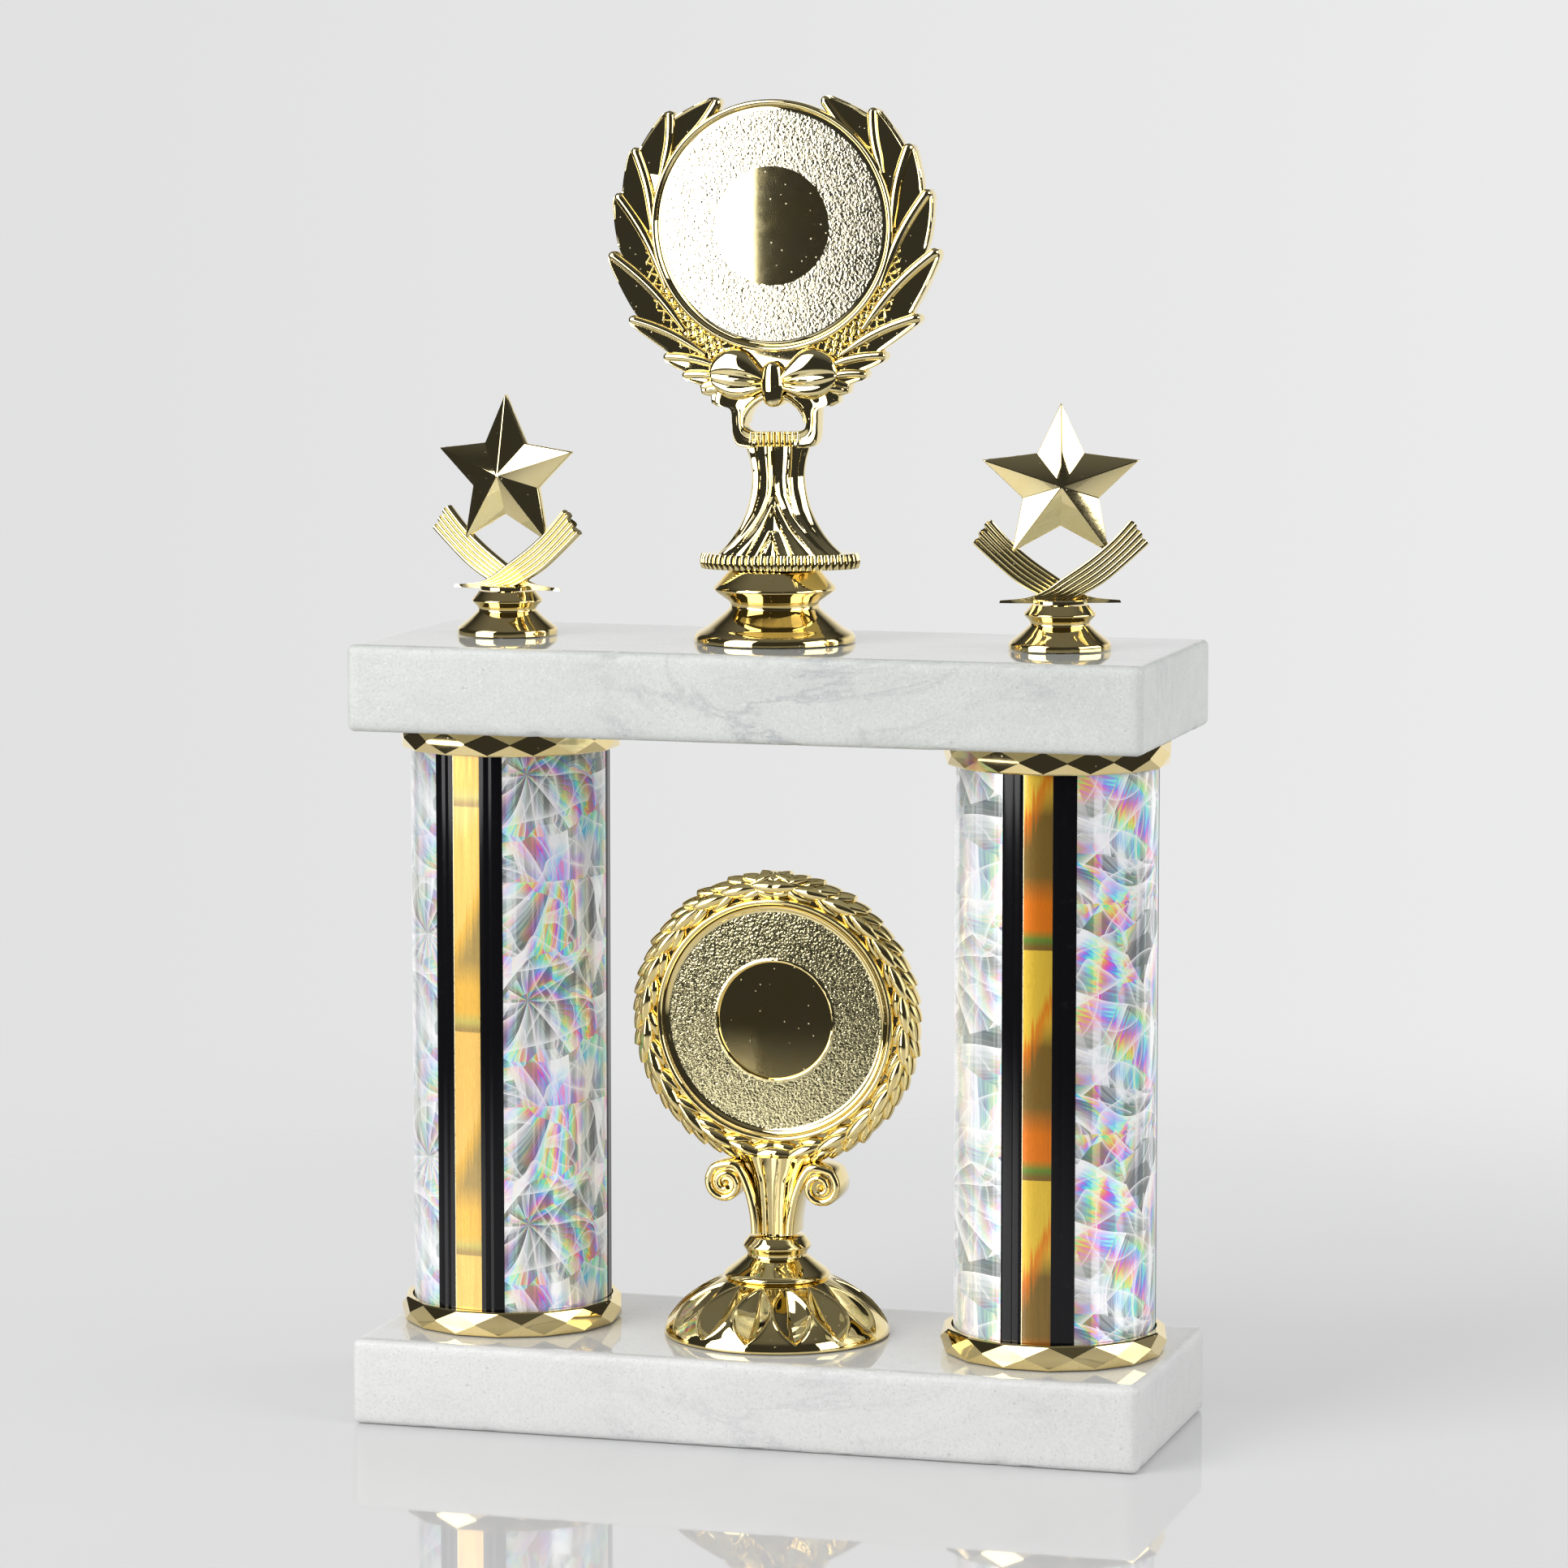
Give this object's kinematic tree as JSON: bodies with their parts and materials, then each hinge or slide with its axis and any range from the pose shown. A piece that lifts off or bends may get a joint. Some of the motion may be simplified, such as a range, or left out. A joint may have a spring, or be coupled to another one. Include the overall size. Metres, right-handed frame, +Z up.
{
  "type": "two-column trophy",
  "caption": "Two-column award: marble slabs joined by film-wrapped columns, gilt wreath insert holders above and between, and star finials that turn on their studs.",
  "frame": {"origin": "centre of the base slab's underside, on the surface that it stands on", "axes": "+X along the slabs, -Y towards the front, +Z up"},
  "size_m": [0.1778, 0.0666, 0.2923],
  "materials": {
    "marble": "polished white marble with faint grey-green clouds, fine specks and sawn, slightly chipped edges",
    "gilt_plating": "mirror-bright pale gold vacuum plating on moulded plastic, stippled inside the insert recesses",
    "prism_film": "silver prism film with rainbow facets, three gold stripes edged in black, under clear gloss",
    "column_board": "plain wound board",
    "zinc_steel": "bright zinc-plated steel"
  },
  "bodies": {
    "root": {"base_slab": "marble", "top_slab": "marble", "column_tube_left": "column_board", "column_film_left": "prism_film", "lower_ring_left": "gilt_plating", "upper_ring_left": "gilt_plating", "tie_rod_left": "zinc_steel", "tie_rod_left_washer": "zinc_steel", "tie_rod_left_nut": "zinc_steel", "star_riser_left": "gilt_plating", "column_tube_right": "column_board", "column_film_right": "prism_film", "lower_ring_right": "gilt_plating", "upper_ring_right": "gilt_plating", "tie_rod_right": "zinc_steel", "tie_rod_right_washer": "zinc_steel", "tie_rod_right_nut": "zinc_steel", "star_riser_right": "gilt_plating", "top_figure_stud": "zinc_steel", "top_figure_washer": "zinc_steel", "top_figure_nut": "zinc_steel", "top_riser": "gilt_plating", "lower_figure_stud": "zinc_steel", "lower_figure_washer": "zinc_steel", "lower_figure_nut": "zinc_steel", "lower_foot": "gilt_plating"},
    "left_star": {"star_figure_left": "gilt_plating"},
    "right_star": {"star_figure_right": "gilt_plating"},
    "top_wreath": {"top_figure": "gilt_plating"},
    "lower_wreath": {"lower_figure": "gilt_plating"}
  },
  "joints": [
    {"name": "left_star_turn", "type": "hinge", "parent": "root", "child": "left_star", "pos_m": [-0.063, 0, 0.18285], "axis": [0, 0, 1], "continuous": true},
    {"name": "right_star_turn", "type": "hinge", "parent": "root", "child": "right_star", "pos_m": [0.063, 0, 0.18285], "axis": [0, 0, 1], "continuous": true},
    {"name": "top_wreath_turn", "type": "hinge", "parent": "root", "child": "top_wreath", "pos_m": [0, 0, 0.18925], "axis": [0, 0, 1], "continuous": true},
    {"name": "lower_wreath_turn", "type": "hinge", "parent": "root", "child": "lower_wreath", "pos_m": [-0.0007, 0, 0.04145], "axis": [0, 0, 1], "continuous": true}
  ]
}
